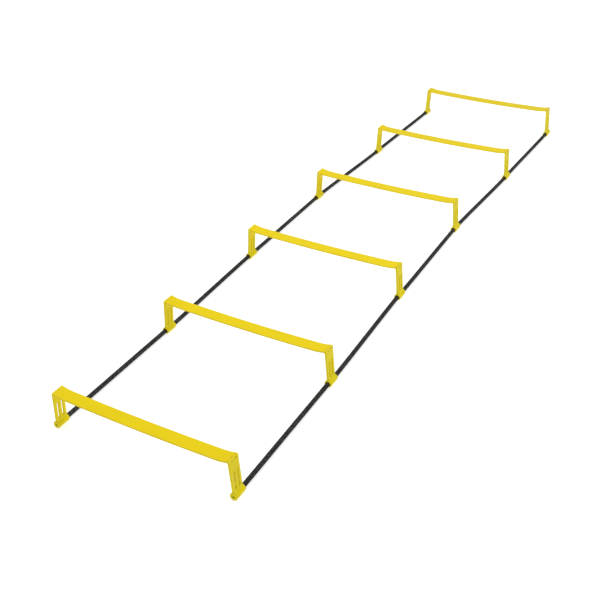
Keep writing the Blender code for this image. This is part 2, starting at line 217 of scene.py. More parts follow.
# %% Gloss and grain of the plastic
GRAIN_SIZE = 0.8 * MM
SINK_SIZE = 14 * MM
RUB_WIDTH = 1.2 * MM
RUB_STRETCH = 0.03
GRAIN_SHARE = {"From Min": 0.3, "From Max": 0.7}
GRAIN_SHINE = 0.05
GRAIN_DULLNESS = 0.07
RUB_DULLNESS = {"From Min": 0.55, "From Max": 0.75, "To Max": 0.12}
WORN_DULLNESS = 0.25
SINK_RELIEF = {"Strength": 0.25, "Distance": 0.4 * MM}
GRAIN_RELIEF = {"Strength": 0.35, "Distance": 0.05 * MM}


def plastic_gloss(tree, place, grain, worn, roughness):
    """Roughness that follows the grain, with more of it on rubs and on worn rims."""
    gloss = add_node(
        tree, "MapRange",
        {**GRAIN_SHARE, "To Min": roughness - GRAIN_SHINE, "To Max": roughness + GRAIN_DULLNESS}, Value=grain)
    lengthwise = add_node(tree, "Mapping", {"Scale": (RUB_STRETCH, 1.0, 1.0)}, Vector=place)
    rubs = add_node(tree, "TexNoise", {"Scale": 1 / RUB_WIDTH, "Detail": 3.0}, Vector=lengthwise.outputs[0])
    dull = add_node(tree, "MapRange", RUB_DULLNESS, Value=rubs.outputs["Fac"])
    rubbed = add_node(
        tree, "Math", {"operation": "ADD"}, i0=gloss.outputs["Result"], i1=dull.outputs["Result"])
    matt = add_node(
        tree, "Math", {"operation": "MULTIPLY_ADD", 1: WORN_DULLNESS}, i0=worn, i2=rubbed.outputs[0])
    return matt.outputs[0]


def moulded_plastic(name, colour, cloud_colour, rim_wear_and_highlight_colour, roughness):
    """Moulded polypropylene: the colour and gloss above, and bumps for sink waves and grain."""
    made, tree, shader, place = new_material(name, roughness, IOR=1.49, Specular_IOR_Level=0.1)
    tint, worn = plastic_colour(tree, place, colour, cloud_colour, rim_wear_and_highlight_colour)
    grain = add_node(tree, "TexNoise", {"Scale": 1 / GRAIN_SIZE, "Detail": 2.0}, Vector=place)
    matt = plastic_gloss(tree, place, grain.outputs["Fac"], worn, roughness)
    sink = add_node(tree, "TexNoise", {"Scale": 1 / SINK_SIZE, "Detail": 1.0}, Vector=place)
    waves = add_node(tree, "Bump", SINK_RELIEF, Height=sink.outputs["Fac"])
    pits = add_node(
        tree, "Bump", GRAIN_RELIEF, Height=grain.outputs["Fac"], Normal=waves.outputs["Normal"])
    join(shader, Base_Color=tint, Roughness=matt, Normal=pits.outputs["Normal"])
    return made


crossbar_plastic = moulded_plastic(
    "moulded_crossbar_polypropylene", "#E4CA04", "#E0C602", "#EAD750", 0.42)
# The legs are the same plastic as the crossbars. Their greener copy of the yellow is painted shade, standing
# in for the shade on their upright faces.
leg_plastic_shaded_copy = moulded_plastic("moulded_leg_polypropylene_shaded_copy", "#E3D004", "#DFCC02", "#E9DA50", 0.45)
print("yellow plastics:", crossbar_plastic.name, "and", leg_plastic_shaded_copy.name)

# %% [markdown]
# ## Steel of the pins and screws
#
# The hinge pins are cut from drawn wire: bright, with fine lines along their length where
# the die scratched them. The cord screws are dipped in hot salts until they turn black, which
# leaves a dull, slightly patchy skin. Their near-black tint is also painted shade, which keeps
# the recess round the screw head dark. Both are metals, so they keep the default IOR, and
# only roughness and colour vary.

# %% Pin wire and blackened screw steel
DRAW_LINE = 0.12 * MM
DRAW_STRETCH = 0.02
WIRE_GLOSS = {"To Min": 0.22, "To Max": 0.45}
OXIDE_PATCH = 1.5 * MM
OXIDE_GLOSS = {"To Min": 0.42, "To Max": 0.6}


def steel(name, roughness, size, stretch, detail, gloss, tints):
    """Metal whose tint and gloss follow one noise, stretched along Y where it was drawn."""
    made, tree, shader, place = new_material(name, roughness, 1.0)
    along = add_node(tree, "Mapping", {"Scale": (1.0, stretch, 1.0)}, Vector=place)
    marks = add_node(tree, "TexNoise", {"Scale": 1 / size, "Detail": detail}, Vector=along.outputs[0])
    shine = add_node(tree, "MapRange", gloss, Value=marks.outputs["Fac"])
    tint = add_node(tree, "Mix", two_tints(*tints), Factor=marks.outputs["Fac"])
    join(shader, Roughness=shine.outputs["Result"], Base_Color=tint.outputs[BLEND])
    return made


pin_finish = steel(
    "drawn_wire_steel", 0.3, size=DRAW_LINE, stretch=DRAW_STRETCH, detail=1.0, gloss=WIRE_GLOSS,
    tints=("#B4B4B6", "#CFCFD0"))
# Near black: black oxide, and also painted shade for the recess that the screw head sits in.
screw_finish_painted_shade = steel(
    "black_oxide_steel_painted_shade", 0.5, size=OXIDE_PATCH, stretch=1.0, detail=4.0, gloss=OXIDE_GLOSS,
    tints=("#1A1816", "#2E2B28"))
print("steels:", pin_finish.name, "and", screw_finish_painted_shade.name)

# %% [markdown]
# ## Black braid
#
# Each side cord is braided from eight pairs of black polypropylene strands, and a strand is
# a flat bundle of fine filaments. The strands themselves are made as real relief further
# on. What is left to the material is the bundle: fine ribs that run along each strand,
# patches where rubbing has turned the filaments grey, and a dry, faint sheen. The ribs also
# darken the colour in the grooves between filaments and lighten it on their crests, which is
# painted shade and painted highlight. The mesh carries a UV map whose U counts strands of one
# direction and whose V counts those of the other, and an attribute that says which of the two
# lies on top, so that the ribs can always follow the strand that shows.

# %% Braided cord material
FILAMENTS_PER_STRAND = 7.0
RIB_RELIEF = {"Strength": 0.5, "Distance": 0.15 * MM}
RIB_PAINTED_SHADE = 0.12
GREY_PATCH_SIZE = 5 * MM
GREY_SHARE = {"From Min": 0.41, "From Max": 0.63}


def braid_material():
    """Filament ribs: a sine across the strand that lies on top, as bump and as painted shade, dark in the
    grooves between filaments and light on their crests.
    """
    made, tree, shader, place = new_material(
        "braided_polypropylene", 0.72, IOR=1.49, Specular_IOR_Level=0.15, Sheen_Weight=0.03)
    turns = add_node(tree, "UVMap", {"uv_map": "strands"})
    split = add_node(tree, "SeparateXYZ", Vector=turns.outputs["UV"])
    top = add_node(tree, "Attribute", {"attribute_name": "right_hand_on_top"})
    across = add_node(
        tree, "Mix", Factor=top.outputs["Fac"], i2=split.outputs["Y"], i3=split.outputs["X"])
    phase = add_node(
        tree, "Math", {"operation": "MULTIPLY", 1: 2 * math.pi * FILAMENTS_PER_STRAND},
        i0=across.outputs[0])
    ribs = add_node(tree, "Math", {"operation": "SINE"}, i0=phase.outputs[0])
    worn = add_node(tree, "TexNoise", {"Scale": 1 / GREY_PATCH_SIZE, "Detail": 3.0}, Vector=place)
    # Painted shade in the grooves between filaments and painted highlight on their crests, added to the real
    # grey patches of wear.
    light = add_node(
        tree, "Math", {"operation": "MULTIPLY_ADD", 1: RIB_PAINTED_SHADE}, i0=ribs.outputs[0],
        i2=worn.outputs["Fac"])
    share = add_node(tree, "MapRange", GREY_SHARE, Value=light.outputs[0])
    tint = add_node(tree, "Mix", two_tints("#060606", "#444241"), Factor=share.outputs["Result"])
    relief = add_node(tree, "Bump", RIB_RELIEF, Height=ribs.outputs[0])
    join(shader, Base_Color=tint.outputs[BLEND], Normal=relief.outputs["Normal"])
    return made


braid_finish = braid_material()
print("cord material:", braid_finish.name)

# %% [markdown]
# ## Where everything is
#
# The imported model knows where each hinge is, so nothing is measured twice. A hurdle's middle
# lies between its two hinges. The lean of the legs and their length follow from the first
# left hinge and the middle of its foot, where the cord's own joint sits.

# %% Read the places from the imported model
HURDLE_COUNT = 6
SIDES = (("left", -1), ("right", 1))
joint_place = {joint["name"]: np.array(joint["pos_m"]) for joint in frame["joints"]}
left_hinges, right_hinges = [
    np.array([joint_place[f"{label}_fold_{n}"] for n in range(1, HURDLE_COUNT + 1)]) for label, _ in SIDES]
hurdle_middles = (left_hinges + right_hinges) / 2 * (1, 1, 0)
HINGE_X = float(right_hinges[0, 0] - left_hinges[0, 0]) / 2
HINGE_Z = float(left_hinges[0, 2])
foot_reach = joint_place["left_cord_turn"] - left_hinges[0]
LEG_LENGTH = float(np.hypot(foot_reach[0], foot_reach[2]))
LEG_LEAN = math.atan2(-foot_reach[0], -foot_reach[2])
FOOT_Z = HINGE_Z + float(foot_reach[2])
FOOT_X = HINGE_X - float(foot_reach[0])
bar_low, bar_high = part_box("crossbar_1")
leg_low, leg_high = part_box("leg_left_1")
BAR_WIDTH = bar_high.y - bar_low.y
BARREL_LENGTH = leg_high.y - leg_low.y
KNUCKLE_RADIUS = bar_high.z - HINGE_Z
LEG_THICKNESS = 2 * KNUCKLE_RADIUS
print("leg", round(LEG_LENGTH / MM, 1), "mm, leaning", round(math.degrees(LEG_LEAN), 2), "degrees")

# %% [markdown]
# ## From numbers to meshes
#
# Almost every piece here is a skin over rings: a closed outline, repeated along a line while
# it changes. As numbers, that is one array with a row for each ring. The quads between
# the rings are the same sum for every piece, so one function makes them for the whole grid
# at once, and both ends are closed with a flat face. Most outlines hold arcs, so they get a
# function as well.

# %% Skins over rings
def ring_faces(rows, columns):
    """Quads of a grid whose columns close into a ring, as an array of four corners each."""
    row = np.arange(rows - 1)[:, None] * columns
    here = np.arange(columns)[None, :]
    after = (here + 1) % columns
    corners = (row + here, row + after, row + columns + after, row + columns + here)
    return np.stack(corners, axis=-1).reshape(-1, 4)


def mesh_from(name, points, faces):
    """A mesh from points and faces, with its faces turned to point outwards."""
    mesh = bpy.data.meshes.new(name)
    mesh.from_pydata(points.tolist(), [], faces)
    shape = bmesh.new()
    shape.from_mesh(mesh)
    bmesh.ops.recalc_face_normals(shape, faces=shape.faces)
    shape.to_mesh(mesh)
    shape.free()
    return mesh


def skin(name, rings):
    """A closed body over an array of rings, shaped (rings, points of a ring, 3)."""
    rows, columns, _ = rings.shape
    faces = ring_faces(rows, columns).tolist()
    faces.append(list(range(columns)))
    faces.append(list(range((rows - 1) * columns, rows * columns)))
    return mesh_from(name, rings.reshape(-1, 3), faces)


def arc(radius, turn):
    """Points of an arc: its radius times the cosine and the sine of each turn."""
    return radius * np.stack([np.cos(turn), np.sin(turn)], axis=1)


print("an arc of radius 1 halfway up:", np.round(arc(1.0, np.array([math.pi / 4])), 3))

# %% [markdown]
# ## Rounded slabs and turned bodies
#
# Moulded plastic has no sharp edge, because no mould can be cut or emptied with one. So an
# outline that is carried along Y starts a little small, swells to its full size over a
# quarter round, and shrinks again at the far face. Pins and barrels do so too, where the
# outline is a circle. The other way round, a cutter that flares where it leaves the plastic
# gives a hole its rounded edge.

# %% Quarter rounds
def rim(radius, steps):
    """A quarter round from an end face to a side: how far in from each it lies, as arrays.

    At a turn t from 0 to 90 degrees it lies radius (1 - sin t) inside the side, and
    radius (1 - cos t) past the end face.
    """
    turn = np.linspace(0, math.pi / 2, steps + 1)
    return radius * (1 - np.sin(turn)), radius * (1 - np.cos(turn))


def rims(low, high, radius, steps):
    """Places from low to high with a quarter round at either end, and the inset at each."""
    inset, advance = rim(radius, steps)
    return np.concatenate([low + advance, (high - advance)[::-1]]), np.concatenate([inset, inset[::-1]])


def flare(radius, reach, steps=4):
    """A cutter's mouth: how far out it has opened, at each depth under the face it leaves.

    It follows a quarter round from the bare hole to the face, and leaves it a little proud.
    """
    inset, advance = rim(radius, steps)
    return radius - inset, np.append(radius - advance[:-1], -reach)


print("a rim of radius 1 in two steps:", np.round(rim(1.0, 2), 3).tolist())

# %% Functions for slabs and turned bodies
SLAB_RIM_STEPS = 3


def outward(outline):
    """Unit steps out of a closed outline at its points, so that edges move parallel.

    At a point, the normals m and n of its two edges give the step (m + n) / (1 + m.n).
    """
    after = np.roll(outline, -1, axis=0)
    edge = after - outline
    edge /= np.linalg.norm(edge, axis=1)[:, None]
    area = np.sum(outline[:, 0] * after[:, 1] - after[:, 0] * outline[:, 1])
    normal = np.stack([edge[:, 1], -edge[:, 0]], axis=1) * np.sign(area)
    before = np.roll(normal, 1, axis=0)
    return (before + normal) / (1 + np.sum(before * normal, axis=1))[:, None]


def carried(outline, places, insets):
    """Rings of an (x, z) outline along Y: at each place it is drawn in by the inset there."""
    drawn = outline[None] - insets[:, None, None] * outward(outline)[None]
    along = np.broadcast_to(places[:, None], drawn.shape[:2])
    return np.stack([drawn[..., 0], along, drawn[..., 1]], axis=-1)


def rounded_slab(name, outline, low, high, radius):
    """An (x, z) outline carried along Y from low to high, with a rounded rim at either end."""
    return skin(name, carried(outline, *rims(low, high, radius, SLAB_RIM_STEPS)))


def turned(name, places, radii, sides, x=0.0, z=0.0):
    """A body of revolution about a line along Y: a circle of each radius at each place."""
    turn = np.arange(sides) * 2 * math.pi / sides
    across = x + radii[:, None] * np.cos(turn)
    up = z + radii[:, None] * np.sin(turn)
    along = np.broadcast_to(places[:, None], across.shape)
    return skin(name, np.stack([across, along, up], axis=-1))


square = np.array([(0.0, 0.0), (1.0, 0.0), (1.0, 1.0), (0.0, 1.0)])
print("the corners of a square move out by", outward(square).tolist())

# %% [markdown]
# ## Joining and cutting
#
# Blender's Boolean modifier joins bodies and cuts holes. A list of tools is run through in
# order, and only the mesh that comes out is kept. Edges that turn by more than 30 degrees
# stay crisp and all others are smoothed.
#
# The plastic wears at its rims first, and its rims are also painted paler as a highlight, so
# each face is asked whether it lies on one. A rim is rounded by a few strips, so its faces are
# narrow and turn clearly from their neighbours. Sorting all corners by their edge puts the
# two faces of an edge side by side.

# %% Marks for worn rims
RIM_FACE_WIDTH = 0.9 * MM
RIM_TURN = math.radians(12)


def numbers(items, key, width=1, kind=np.int32):
    """One property of all items of a mesh as an array with a row for each item."""
    values = np.empty(len(items) * width, kind)
    items.foreach_get(key, values)
    return values.reshape(-1, width) if width > 1 else values


def mark_rims(mesh):
    """Write an attribute that is 1 on faces of rims and 0 elsewhere.

    A face counts where its area over its longest edge is under RIM_FACE_WIDTH and the
    cosine between its normal and a neighbour's is under that of RIM_TURN.
    """
    spots = numbers(mesh.vertices, "co", 3, np.float32)
    ends = numbers(mesh.edges, "vertices", 2)
    edge = numbers(mesh.loops, "edge_index")
    start = numbers(mesh.polygons, "loop_start")
    total = numbers(mesh.polygons, "loop_total")
    normal = numbers(mesh.polygons, "normal", 3, np.float32)
    length = np.linalg.norm(spots[ends[:, 0]] - spots[ends[:, 1]], axis=1)
    width = numbers(mesh.polygons, "area", 1, np.float32) / np.maximum.reduceat(length[edge], start)
    owner = np.repeat(np.arange(len(start)), total)
    pair = owner[np.argsort(edge, kind="stable")].reshape(-1, 2)
    cosine = np.sum(normal[pair[:, 0]] * normal[pair[:, 1]], axis=1)
    least = np.ones(len(start))
    np.minimum.at(least, pair.ravel(), cosine.repeat(2))
    on_rim = (width < RIM_FACE_WIDTH) & (least < math.cos(RIM_TURN))
    mesh.attributes.new("rim", "FLOAT", "FACE").data.foreach_set("value", on_rim.astype(np.float32))
    return int(on_rim.sum())


print("a rim face is under", round(RIM_FACE_WIDTH / MM, 2), "mm wide")

# %% Boolean steps
SHARP_ANGLE = math.radians(30)


def worked(name, base, joined=(), cut=()):
    """Join meshes to a base mesh, cut others out of it, and return the mesh that is left."""
    holder = new_object(name, base)
    tools = []
    for mesh, operation in [(m, "UNION") for m in joined] + [(m, "DIFFERENCE") for m in cut]:
        tools.append(new_object(mesh.name, mesh))
        step = holder.modifiers.new(mesh.name, "BOOLEAN")
        step.operation = operation
        step.object = tools[-1]
    view = bpy.context.evaluated_depsgraph_get()
    made = bpy.data.meshes.new_from_object(holder.evaluated_get(view), depsgraph=view)
    made.name = name
    for item in tools + [holder]:
        bpy.data.objects.remove(item, do_unlink=True)
    made.shade_smooth()
    made.set_sharp_from_angle(angle=SHARP_ANGLE)
    rim_count = mark_rims(made)
    print(name, "has", rim_count, "rim faces of", len(made.polygons))
    return made


print("sharp above", round(math.degrees(SHARP_ANGLE)), "degrees")

# %% [markdown]
# ## Crossbar
#
# The crossbar is a flat plank that sags between its ends, with two knuckles at either end
# that reach over the leg's pin. Its cross-section is a rectangle with rounded corners. That
# section is carried along a path, and the path is two simple curves added together: a
# short bend just inside each corner and one long shallow arch upside down.

# %% Crossbar plank
END_DROP = 3.8 * MM
END_DROP_RUN = 32 * MM
MIDDLE_SAG = 4.6 * MM
BAR_THICKNESS = 4.6 * MM
BAR_EDGE_RADIUS = 1.4 * MM
FIT_GAP = 0.3 * MM
BAR_STATIONS = 36
CORNER_STEPS = 5


def bar_drop(x):
    """How far the plank hangs below its hinges.

    The bend is END_DROP (1 - (1 - r) squared), where r goes from 0 at the end to 1 after
    the bend's run, and the sag is MIDDLE_SAG (1 - the square of x over the hinge's x).
    """
    run = np.clip((HINGE_X - KNUCKLE_RADIUS - np.abs(x)) / END_DROP_RUN, 0, 1)
    sag = MIDDLE_SAG * (1 - np.clip(np.abs(x) / HINGE_X, 0, 1) ** 2)
    return END_DROP * (1 - (1 - run) ** 2) + sag


def bar_section():
    """The plank's section as (y, z) points: four quarter rounds about the corners."""
    turn = np.linspace(0, math.pi / 2, CORNER_STEPS + 1)
    turns = (turn[None] + np.arange(4)[:, None] * math.pi / 2).ravel()
    side = np.array([(1, 1), (-1, 1), (-1, -1), (1, -1)]).repeat(CORNER_STEPS + 1, axis=0)
    half = np.array([BAR_WIDTH, BAR_THICKNESS]) / 2 - BAR_EDGE_RADIUS
    return side * half + arc(BAR_EDGE_RADIUS, turns)


def bar_end_x(z):
    """Where the end face stands at a height z: a gap away from the leaning leg."""
    reach = (KNUCKLE_RADIUS + FIT_GAP) / math.cos(LEG_LEAN)
    return HINGE_X - reach - (z - HINGE_Z) * math.tan(LEG_LEAN)


def plank_mesh():
    """The section carried along the sagging path, with its end rings slanted like the legs."""
    section = bar_section()
    shares = np.sin(np.linspace(-math.pi / 2, math.pi / 2, 2 * BAR_STATIONS + 1))
    x = shares[:, None] * np.full(len(section), bar_end_x(HINGE_Z))
    z = HINGE_Z - bar_drop(x) + section[None, :, 1]
    x[0], x[-1] = -bar_end_x(z[0]), bar_end_x(z[-1])
    y = np.broadcast_to(section[None, :, 0], x.shape)
    return skin("plank", np.stack([x, y, z], axis=-1))


plank = plank_mesh()
print("plank:", len(plank.polygons), "faces, hanging", round(float(bar_drop(0.0)) / MM, 1), "mm")

# %% [markdown]
# ## Crossbar knuckles and stops
#
# A knuckle is a round bead on a short web. Seen from the front, its outline is an arc over
# the top of the pin and two straight lines back to the plank, so it is an outline carried
# along Y with a rounded rim. A small wedge under the plank's end keeps the leg from folding
# inwards past its stop.

# %% Whole crossbar
SLOT_WIDTH = 6.8 * MM
SLOT_PITCH = 14.3 * MM
HEEL_DEPTH = 3.0 * MM
HEEL_RUN = 5.0 * MM
WELD_DEPTH = 0.5 * MM
PIN_BORE_RADIUS = 1.55 * MM
PIN_BORE_SIDES = 24
KNUCKLE_STEPS = 20
KNUCKLE_RIM = 0.3 * MM
CUT_OVERRUN = 3.0 * MM


def knuckle_outline(side):
    """An arc over the pin, and two lines back to the plank, as (x, z) points."""
    root = HINGE_X - bar_end_x(HINGE_Z) + KNUCKLE_RADIUS
    root_height = BAR_THICKNESS / 2 - WELD_DEPTH
    slope = math.atan2(KNUCKLE_RADIUS - root_height, root)
    turn = (math.pi / 2 + slope) * np.linspace(1, -1, KNUCKLE_STEPS + 1)
    line = np.array([(-root, -root_height), (-root, root_height)])
    return (np.concatenate([arc(KNUCKLE_RADIUS, turn), line]) + (HINGE_X, HINGE_Z)) * (side, 1)


def heel_outline(side):
    """The wedge under the plank's end: upright against the leg, and sloping back."""
    top = HINGE_Z - BAR_THICKNESS / 2 + WELD_DEPTH
    bottom = HINGE_Z - BAR_THICKNESS / 2 - HEEL_DEPTH
    corners = [(bar_end_x(top), top), (bar_end_x(bottom), bottom), (bar_end_x(top) - HEEL_RUN, top)]
    return np.array(corners) * (side, 1)


def crossbar_mesh():
    """Plank, heels and knuckles joined, with the pin bores cut."""
    half = SLOT_WIDTH / 2 - FIT_GAP
    heel_half = BAR_WIDTH / 2 - BAR_EDGE_RADIUS
    joined = [
        rounded_slab("heel", heel_outline(side), -heel_half, heel_half, KNUCKLE_RIM) for side in (-1, 1)]
    for side, row in ((-1, -1), (-1, 1), (1, -1), (1, 1)):
        middle = row * SLOT_PITCH / 2
        joined.append(
            rounded_slab("knuckle", knuckle_outline(side), middle - half, middle + half, KNUCKLE_RIM))
    places = np.array([-1, 1]) * (BAR_WIDTH / 2 + CUT_OVERRUN)
    radii = np.full(2, PIN_BORE_RADIUS)
    bores = [turned("bore", places, radii, PIN_BORE_SIDES, side * HINGE_X, HINGE_Z) for side in (-1, 1)]
    return worked("crossbar", plank, joined, bores)


crossbar = crossbar_mesh()
print("crossbar:", len(crossbar.polygons), "faces")

# %% [markdown]
# ## Leg blade and barrel
#
# Seen along the ladder, a leg is a thin strip with a round top, which swells into the barrel
# of its foot over two fillets. That outline is carried along Y, with rounded rims, and drawn
# in slightly towards the foot. A fillet is an arc that touches both the strip's side and
# the barrel's circle, so its middle is one fillet radius from the side and a fillet and a
# barrel radius from the barrel's middle.

# %% Leg blade and barrel bodies
LEG_FOOT_WIDTH = 34.5 * MM
LEG_RIM = 0.8 * MM
FOOT_FILLET_RADIUS = 7.0 * MM
BARREL_RADIUS = 9.58 * MM
BARREL_RIM = 1.1 * MM
BARREL_RIM_STEPS = 5
BARREL_SIDES = 56
FILLET_STEPS = 10


def leg_outline():
    """The leg seen along the ladder, from its hinge at the origin down to the barrel."""
    top = arc(KNUCKLE_RADIUS, np.linspace(math.pi / 2, 0, KNUCKLE_STEPS // 2 + 1))
    centre_x = LEG_THICKNESS / 2 + FOOT_FILLET_RADIUS
    centre_z = math.sqrt((BARREL_RADIUS + FOOT_FILLET_RADIUS) ** 2 - centre_x ** 2) - LEG_LENGTH
    last = math.atan2(centre_z + LEG_LENGTH, centre_x)
    turn = math.pi + last * np.linspace(0, 1, FILLET_STEPS + 1)
    fillet = arc(FOOT_FILLET_RADIUS, turn) + (centre_x, centre_z)
    half = np.concatenate([top, fillet, [fillet[-1] - WELD_DEPTH, (0.0, -LEG_LENGTH)]])
    return np.concatenate([half, (half[1:-1] * (-1, 1))[::-1]])


def blade_mesh():
    """The outline carried along Y; each point's Y shrinks in step with its depth."""
    blade = rounded_slab("blade", leg_outline(), -BAR_WIDTH / 2, BAR_WIDTH / 2, LEG_RIM)
    points = numbers(blade.vertices, "co", 3, np.float32)
    share = np.clip(-points[:, 2] / LEG_LENGTH, 0, 1)
    points[:, 1] *= 1 - (1 - LEG_FOOT_WIDTH / BAR_WIDTH) * share
    blade.vertices.foreach_set("co", points.ravel())
    return blade


def barrel_mesh():
    """A cylinder along Y about the foot's middle, with a rounded rim at either end."""
    places, insets = rims(-BARREL_LENGTH / 2, BARREL_LENGTH / 2, BARREL_RIM, BARREL_RIM_STEPS)
    return turned("barrel", places, BARREL_RADIUS - insets, BARREL_SIDES, 0.0, -LEG_LENGTH)


print("blade outline:", len(leg_outline()), "points")

# %% [markdown]
# ## Slots, notches and bores
#
# Two long slots with round ends lighten the leg, and two notches above them take the
# crossbar's knuckles. The slot's cutter is a stadium outline carried through the blade, and
# its mouths flare so that the slot's edges come out rounded. The cord's bore goes through
# the four middle feet of a side, and stops in the others at a wall with a hole for a screw.

# %% Slot and notch cutters
SLOT_HINGE_MARGIN = 31.0 * MM
SLOT_FOOT_MARGIN = 15.0 * MM
SLOT_END_STEPS = 14
SLOT_RIM = 0.1 * MM


def slot_cutter(row):
    """A stadium in Y and Z carried through the blade along X, flared at both mouths."""
    radius = SLOT_WIDTH / 2
    top = -(SLOT_HINGE_MARGIN + radius)
    bottom = -(LEG_LENGTH - SLOT_FOOT_MARGIN - radius)
    end = arc(radius, np.linspace(0, math.pi, SLOT_END_STEPS + 1))
    outline = np.concatenate([end + (0, top), -end + (0, bottom)]) + (row * SLOT_PITCH / 2, 0)
    opened, depth = flare(SLOT_RIM, CUT_OVERRUN)
    half = LEG_THICKNESS / 2
    places = np.concatenate([(depth - half)[::-1], half - depth])
    swell = np.concatenate([opened[::-1], opened])
    return skin("slot", carried(outline, places, -swell)[..., [1, 0, 2]])


def notch_cutter(row):
    """A box round the space that one knuckle of the crossbar turns in."""
    reach = KNUCKLE_RADIUS + CUT_OVERRUN
    floor = -(KNUCKLE_RADIUS + FIT_GAP)
    outline = np.array([(-reach, floor), (reach, floor), (reach, reach), (-reach, reach)])
    places = row * SLOT_PITCH / 2 + np.array([-1, 1]) * SLOT_WIDTH / 2
    return skin("notch", carried(outline, places, np.zeros(2)))


print("slots:", round(SLOT_WIDTH / MM, 1), "mm wide, from", round(SLOT_HINGE_MARGIN / MM), "mm down")

# %% Bore and floor cutters, and whole legs
CORD_RADIUS = 5.9 * MM
MOUTH_RIM = 0.7 * MM
END_WALL = 5.0 * MM
SCREW_HEAD_RADIUS = 2.4 * MM
SCREW_RECESS_DEPTH = 3.0 * MM
SCREW_SHANK_RADIUS = 1.3 * MM
PIN_BLIND_WALL = 2.5 * MM


def bore_cutter(closed_end):
    """The cord's bore about the foot's middle: open at both ends, or at one only."""
    half = BARREL_LENGTH / 2
    opened, depth = flare(MOUTH_RIM, CUT_OVERRUN)
    bore = CORD_RADIUS + FIT_GAP
    places, radii = half - depth, bore + opened
    if closed_end == 0:
        places, radii = np.concatenate([-places[::-1], places]), np.concatenate([radii[::-1], radii])
    else:
        head, shank = SCREW_HEAD_RADIUS + FIT_GAP, SCREW_SHANK_RADIUS + FIT_GAP
        steps = np.array([-CUT_OVERRUN, SCREW_RECESS_DEPTH, SCREW_RECESS_DEPTH, END_WALL, END_WALL]) - half
        places = np.concatenate([steps, places]) * -closed_end
        radii = np.concatenate([[head, head, shank, shank, bore], radii])
    return turned("cord_bore", places, radii, BARREL_SIDES, 0.0, -LEG_LENGTH)


def floor_cutter(side):
    """A box whose top is the floor's level, turned with the lean of the leg."""
    reach = BARREL_LENGTH / 2 + CUT_OVERRUN
    low, high = -BARREL_RADIUS - CUT_OVERRUN, -FOOT_Z
    outline = np.array([(-1, low), (1, low), (1, high), (-1, high)]) * (BARREL_RADIUS, 1)
    cutter = skin("floor_cut", carried(outline, np.array([-reach, reach]), np.zeros(2)))
    cutter.transform(Matrix.Translation((0, 0, -LEG_LENGTH)) @ Matrix.Rotation(side * LEG_LEAN, 4, "Y"))
    return cutter


def leg_mesh(side, closed_end):
    """Blade and barrel joined, then slots, notches, bores and the flat under the foot."""
    cut = [slot_cutter(-1), slot_cutter(1), notch_cutter(-1), notch_cutter(1)]
    pin_places = np.array([PIN_BLIND_WALL - BAR_WIDTH / 2, BAR_WIDTH / 2 + CUT_OVERRUN])
    cut.append(turned("pin_bore", pin_places, np.full(2, PIN_BORE_RADIUS), PIN_BORE_SIDES))
    cut += [bore_cutter(closed_end), floor_cutter(side)]
    return worked("leg", blade_mesh(), [barrel_mesh()], cut)


legs = {(side, end): leg_mesh(side, end) for _, side in SIDES for end in (-1, 0, 1)}
print("leg:", len(legs[(1, 0)].polygons), "faces each, in", len(legs), "kinds")

# %% [markdown]
# ## Pins and screws
#
# A hinge pin is a plain rod with rounded ends. A cord screw has a domed head with a crossed
# recess and a thread. Its surface is one grid of rings: over the head, down its side, in to
# the shank and along it to the point. The thread is a triangle wave of the radius that
# climbs one pitch for each turn, and the recess lowers the rings of the head where a
# cross lies.

# %% Pin and screw bodies
PIN_RADIUS = 1.25 * MM
PIN_RIM = 0.3 * MM
PIN_RIM_STEPS = 3
PIN_INSET = 0.6 * MM
PIN_SIDES = 32
SCREW_HEAD_HEIGHT = 1.5 * MM
SCREW_DOME = 0.7 * MM
SCREW_GRIP = 12.0 * MM
SCREW_POINT = 2.5 * MM
SCREW_BLUNTNESS = 0.12
THREAD_PITCH = 1.0 * MM
THREAD_DEPTH = 0.22 * MM
RECESS_ARM = 0.42 * MM
RECESS_REACH = 1.5 * MM
RECESS_DEPTH = 0.9 * MM
RECESS_WALL = 0.1 * MM
RECESS_TIP = 0.25 * MM
SCREW_SIDES = 48
HEAD_RINGS = 18
HEAD_CENTRE = 0.02
SHANK_RINGS = 120


def pin_mesh():
    """A rod with rounded ends, standing clear of the blind wall in front."""
    front, back = PIN_BLIND_WALL + FIT_GAP - BAR_WIDTH / 2, BAR_WIDTH / 2 - PIN_INSET
    places, insets = rims(front, back, PIN_RIM, PIN_RIM_STEPS)
    return turned("pin", places, PIN_RADIUS - insets, PIN_SIDES)


